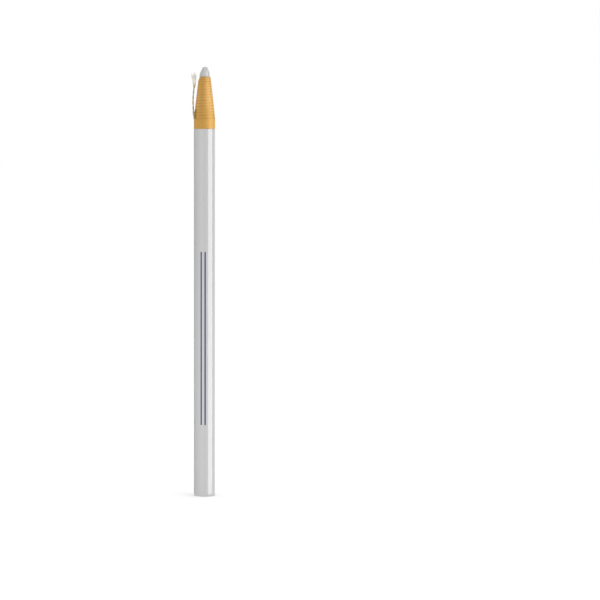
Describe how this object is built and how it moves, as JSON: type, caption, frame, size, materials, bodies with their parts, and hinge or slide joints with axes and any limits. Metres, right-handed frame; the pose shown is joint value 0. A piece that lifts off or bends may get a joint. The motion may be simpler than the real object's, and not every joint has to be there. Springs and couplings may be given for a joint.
{
  "type": "china marker",
  "caption": "Peel-off china marker: a wax core in a rolled paper barrel with a glossy white coat, whose paper bands lift away in turn once a string is pulled.",
  "frame": {"origin": "centre of the flat butt face, which the marker stands on", "axes": "+Z along the marker to its writing tip; the pull string comes out near -X"},
  "size_m": [0.0098, 0.0086, 0.175],
  "materials": {
    "wax": "matt white wax",
    "paper": "tan kraft paper",
    "coat": "gloss white lacquer",
    "string": "twisted cotton"
  },
  "bodies": {
    "core_and_butt": {"wax_core": "wax", "string_run": "string", "butt_paper": "paper", "butt_coat": "coat"},
    "band_13": {"band_13": "paper", "coat_13": "coat"},
    "band_12": {"band_12": "paper", "coat_12": "coat"},
    "band_11": {"band_11": "paper", "coat_11": "coat"},
    "band_10": {"band_10": "paper", "coat_10": "coat"},
    "band_09": {"band_09": "paper", "coat_09": "coat"},
    "band_08": {"band_08": "paper", "coat_08": "coat"},
    "band_07": {"band_07": "paper", "coat_07": "coat"},
    "band_06": {"band_06": "paper", "coat_06": "coat"},
    "band_05": {"band_05": "paper", "coat_05": "coat"},
    "band_04": {"band_04": "paper", "coat_04": "coat"},
    "band_03": {"band_03": "paper", "coat_03": "coat"},
    "band_02": {"band_02": "paper", "coat_02": "coat"},
    "band_01": {"band_01": "paper"},
    "pull_string": {"string_lead": "string", "string_tail": "string", "frayed_end": "string"}
  },
  "joints": [
    {"name": "band_13_peel", "type": "slide", "parent": "core_and_butt", "child": "band_13", "axis": [0, 0, 1], "range_m": [0, 0.026]},
    {"name": "band_12_peel", "type": "slide", "parent": "band_13", "child": "band_12", "axis": [0, 0, 1], "range_m": [0, 0.026]},
    {"name": "band_11_peel", "type": "slide", "parent": "band_12", "child": "band_11", "axis": [0, 0, 1], "range_m": [0, 0.026]},
    {"name": "band_10_peel", "type": "slide", "parent": "band_11", "child": "band_10", "axis": [0, 0, 1], "range_m": [0, 0.026]},
    {"name": "band_09_peel", "type": "slide", "parent": "band_10", "child": "band_09", "axis": [0, 0, 1], "range_m": [0, 0.026]},
    {"name": "band_08_peel", "type": "slide", "parent": "band_09", "child": "band_08", "axis": [0, 0, 1], "range_m": [0, 0.026]},
    {"name": "band_07_peel", "type": "slide", "parent": "band_08", "child": "band_07", "axis": [0, 0, 1], "range_m": [0, 0.026]},
    {"name": "band_06_peel", "type": "slide", "parent": "band_07", "child": "band_06", "axis": [0, 0, 1], "range_m": [0, 0.026]},
    {"name": "band_05_peel", "type": "slide", "parent": "band_06", "child": "band_05", "axis": [0, 0, 1], "range_m": [0, 0.026]},
    {"name": "band_04_peel", "type": "slide", "parent": "band_05", "child": "band_04", "axis": [0, 0, 1], "range_m": [0, 0.026]},
    {"name": "band_03_peel", "type": "slide", "parent": "band_04", "child": "band_03", "axis": [0, 0, 1], "range_m": [0, 0.026]},
    {"name": "band_02_peel", "type": "slide", "parent": "band_03", "child": "band_02", "axis": [0, 0, 1], "range_m": [0, 0.026]},
    {"name": "band_01_peel", "type": "slide", "parent": "band_02", "child": "band_01", "axis": [0, 0, 1], "range_m": [0, 0.026]},
    {"name": "string_pull", "type": "hinge", "parent": "band_02", "child": "pull_string", "pos_m": [-0.00377, -0.00046, 0.15015], "axis": [0.1219, -0.9925, 0], "range_deg": [0, 85]}
  ]
}
